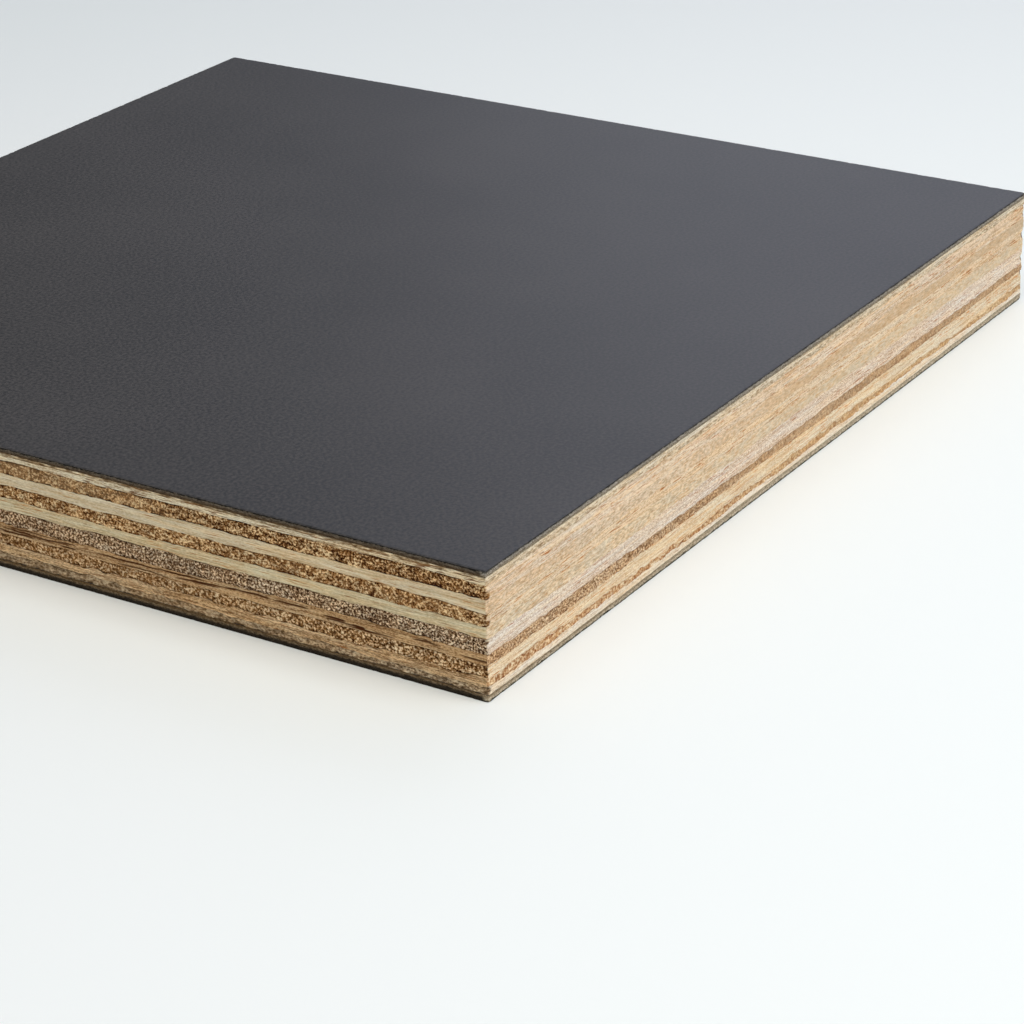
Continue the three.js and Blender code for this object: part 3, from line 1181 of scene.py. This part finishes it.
# Square lamps that face the origin: heading and rise in degrees, distance and size in metres,
# watts, and colour.
LAMPS = {
    "key_lamp": (-103, 55, 1.1, 0.9, 8.8, (1.0, 0.965, 0.90)),
    "high_lamp": (170, 74, 1.2, 0.8, 2.35, (1.0, 0.935, 0.78)),
    "window": (13.5, 30, 0.8, 0.5, 1.22, (0.80, 0.845, 1.0)),
}


def towards(heading, rise):
    """The direction at a heading, counted from +X towards +Y, and a rise above the level."""
    level = math.cos(rise)
    return Vector((level * math.cos(heading), level * math.sin(heading), math.sin(rise)))


def make_lamp(name, heading, rise, distance, size, watts, colour):
    lamp = bpy.data.lights.new(name, "AREA")
    lamp.shape = "SQUARE"
    lamp.size = size
    lamp.energy = watts
    lamp.color = colour
    made = bpy.data.objects.new(name, lamp)
    bpy.context.scene.collection.objects.link(made)
    direction = towards(math.radians(heading), math.radians(rise))
    made.location = direction * distance
    made.rotation_euler = direction.to_track_quat("Z", "Y").to_euler()


def make_world():
    """Even light from all round that grows bluer and brighter towards the bright side of the
    room, by the cosine of the angle from it."""
    world = bpy.data.worlds.new("studio")
    world.use_nodes = True
    bpy.context.scene.world = world
    nodes = Nodes(world.node_tree)
    direction = nodes.node("ShaderNodeTexCoord", {}).outputs["Generated"]
    bright = towards(BRIGHT_HEADING, BRIGHT_RISE)
    cosine = nodes.node(
        "ShaderNodeVectorMath", {0: direction, 1: bright}, operation="DOT_PRODUCT"
    ).outputs["Value"]
    low, high = BRIGHT_REACH
    share = nodes.node("ShaderNodeMapRange", {"Value": cosine, "From Min": low, "From Max": high})
    background = world.node_tree.nodes["Background"].inputs
    colour = nodes.mix(share.outputs["Result"], EVEN_COLOUR, BRIGHT_COLOUR)
    nodes.feed(background["Color"], colour)
    nodes.feed(background["Strength"], WORLD_LEVEL)


def make_light():
    """The light from all round, one large soft lamp high on the right, a weak one high on the
    left, and a faint window behind the panel, whose sheen lies on its top."""
    make_world()
    for name, lamp in LAMPS.items():
        make_lamp(name, *lamp)


# ---------------------------------------------------------------- putting it together


def finish_piece(piece, node, *materials):
    for material in materials:
        piece.data.materials.append(material)
    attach(piece, "root")
    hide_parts(node)


make_camera()
make_floor()
make_light()

LINES = glue_lines()
for number, veneer_name in enumerate(VENEERS):
    made_veneer = veneer(veneer_name, LINES[number], LINES[number + 1])
    finish_piece(made_veneer, veneer_name, veneer_material(veneer_name, number))

decor = decor_material()
for facing_name, glue, outer_height, up in (
    (FACING_BOTTOM, LINES[0], 0.0, -1),
    (FACING_TOP, LINES[-1], PANEL_TOP, 1),
):
    made_facing = facing(facing_name, glue, outer_height, up)
    finish_piece(made_facing, facing_name, decor, sawn_edge_material(facing_name))

bpy.context.scene.view_settings.view_transform = "Standard"
